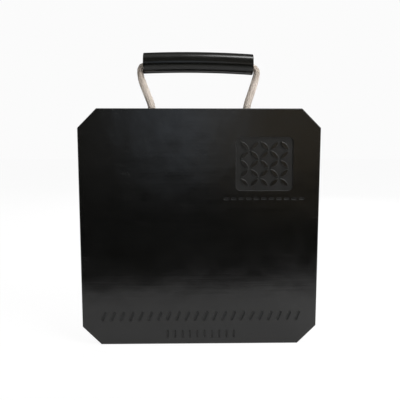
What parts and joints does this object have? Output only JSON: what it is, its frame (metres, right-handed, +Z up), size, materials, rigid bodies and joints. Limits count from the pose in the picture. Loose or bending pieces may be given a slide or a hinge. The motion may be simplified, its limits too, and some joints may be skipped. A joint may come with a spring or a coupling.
{
  "type": "outrigger support plate",
  "caption": "Square black plastic outrigger pad with cut corners, a braided rope handle through its top edge and a hose grip, stood on its lower edge.",
  "frame": {"origin": "middle of the lower edge that the plate stands on, at mid-thickness", "axes": "+Z up the plate towards the handle, +X along the plate's width, -Y out of the load face, +Y out of the ground face"},
  "size_m": [0.3048, 0.0254, 0.3748],
  "materials": {
    "pad_plastic": "satin black polyethylene board with fine machining streaks",
    "braided_rope": "off-white braided synthetic rope",
    "hose_rubber": "smooth glossy black hose"
  },
  "bodies": {
    "pad": {"plate": "pad_plastic", "rope": "braided_rope", "knot_left": "braided_rope", "knot_right": "braided_rope"},
    "hose_grip": {"grip": "hose_rubber"}
  },
  "joints": [
    {"name": "grip_spin", "type": "hinge", "parent": "pad", "child": "hose_grip", "pos_m": [-0.0015, 0, 0.3602], "axis": [0.9999, 0, -0.0101], "continuous": true}
  ]
}
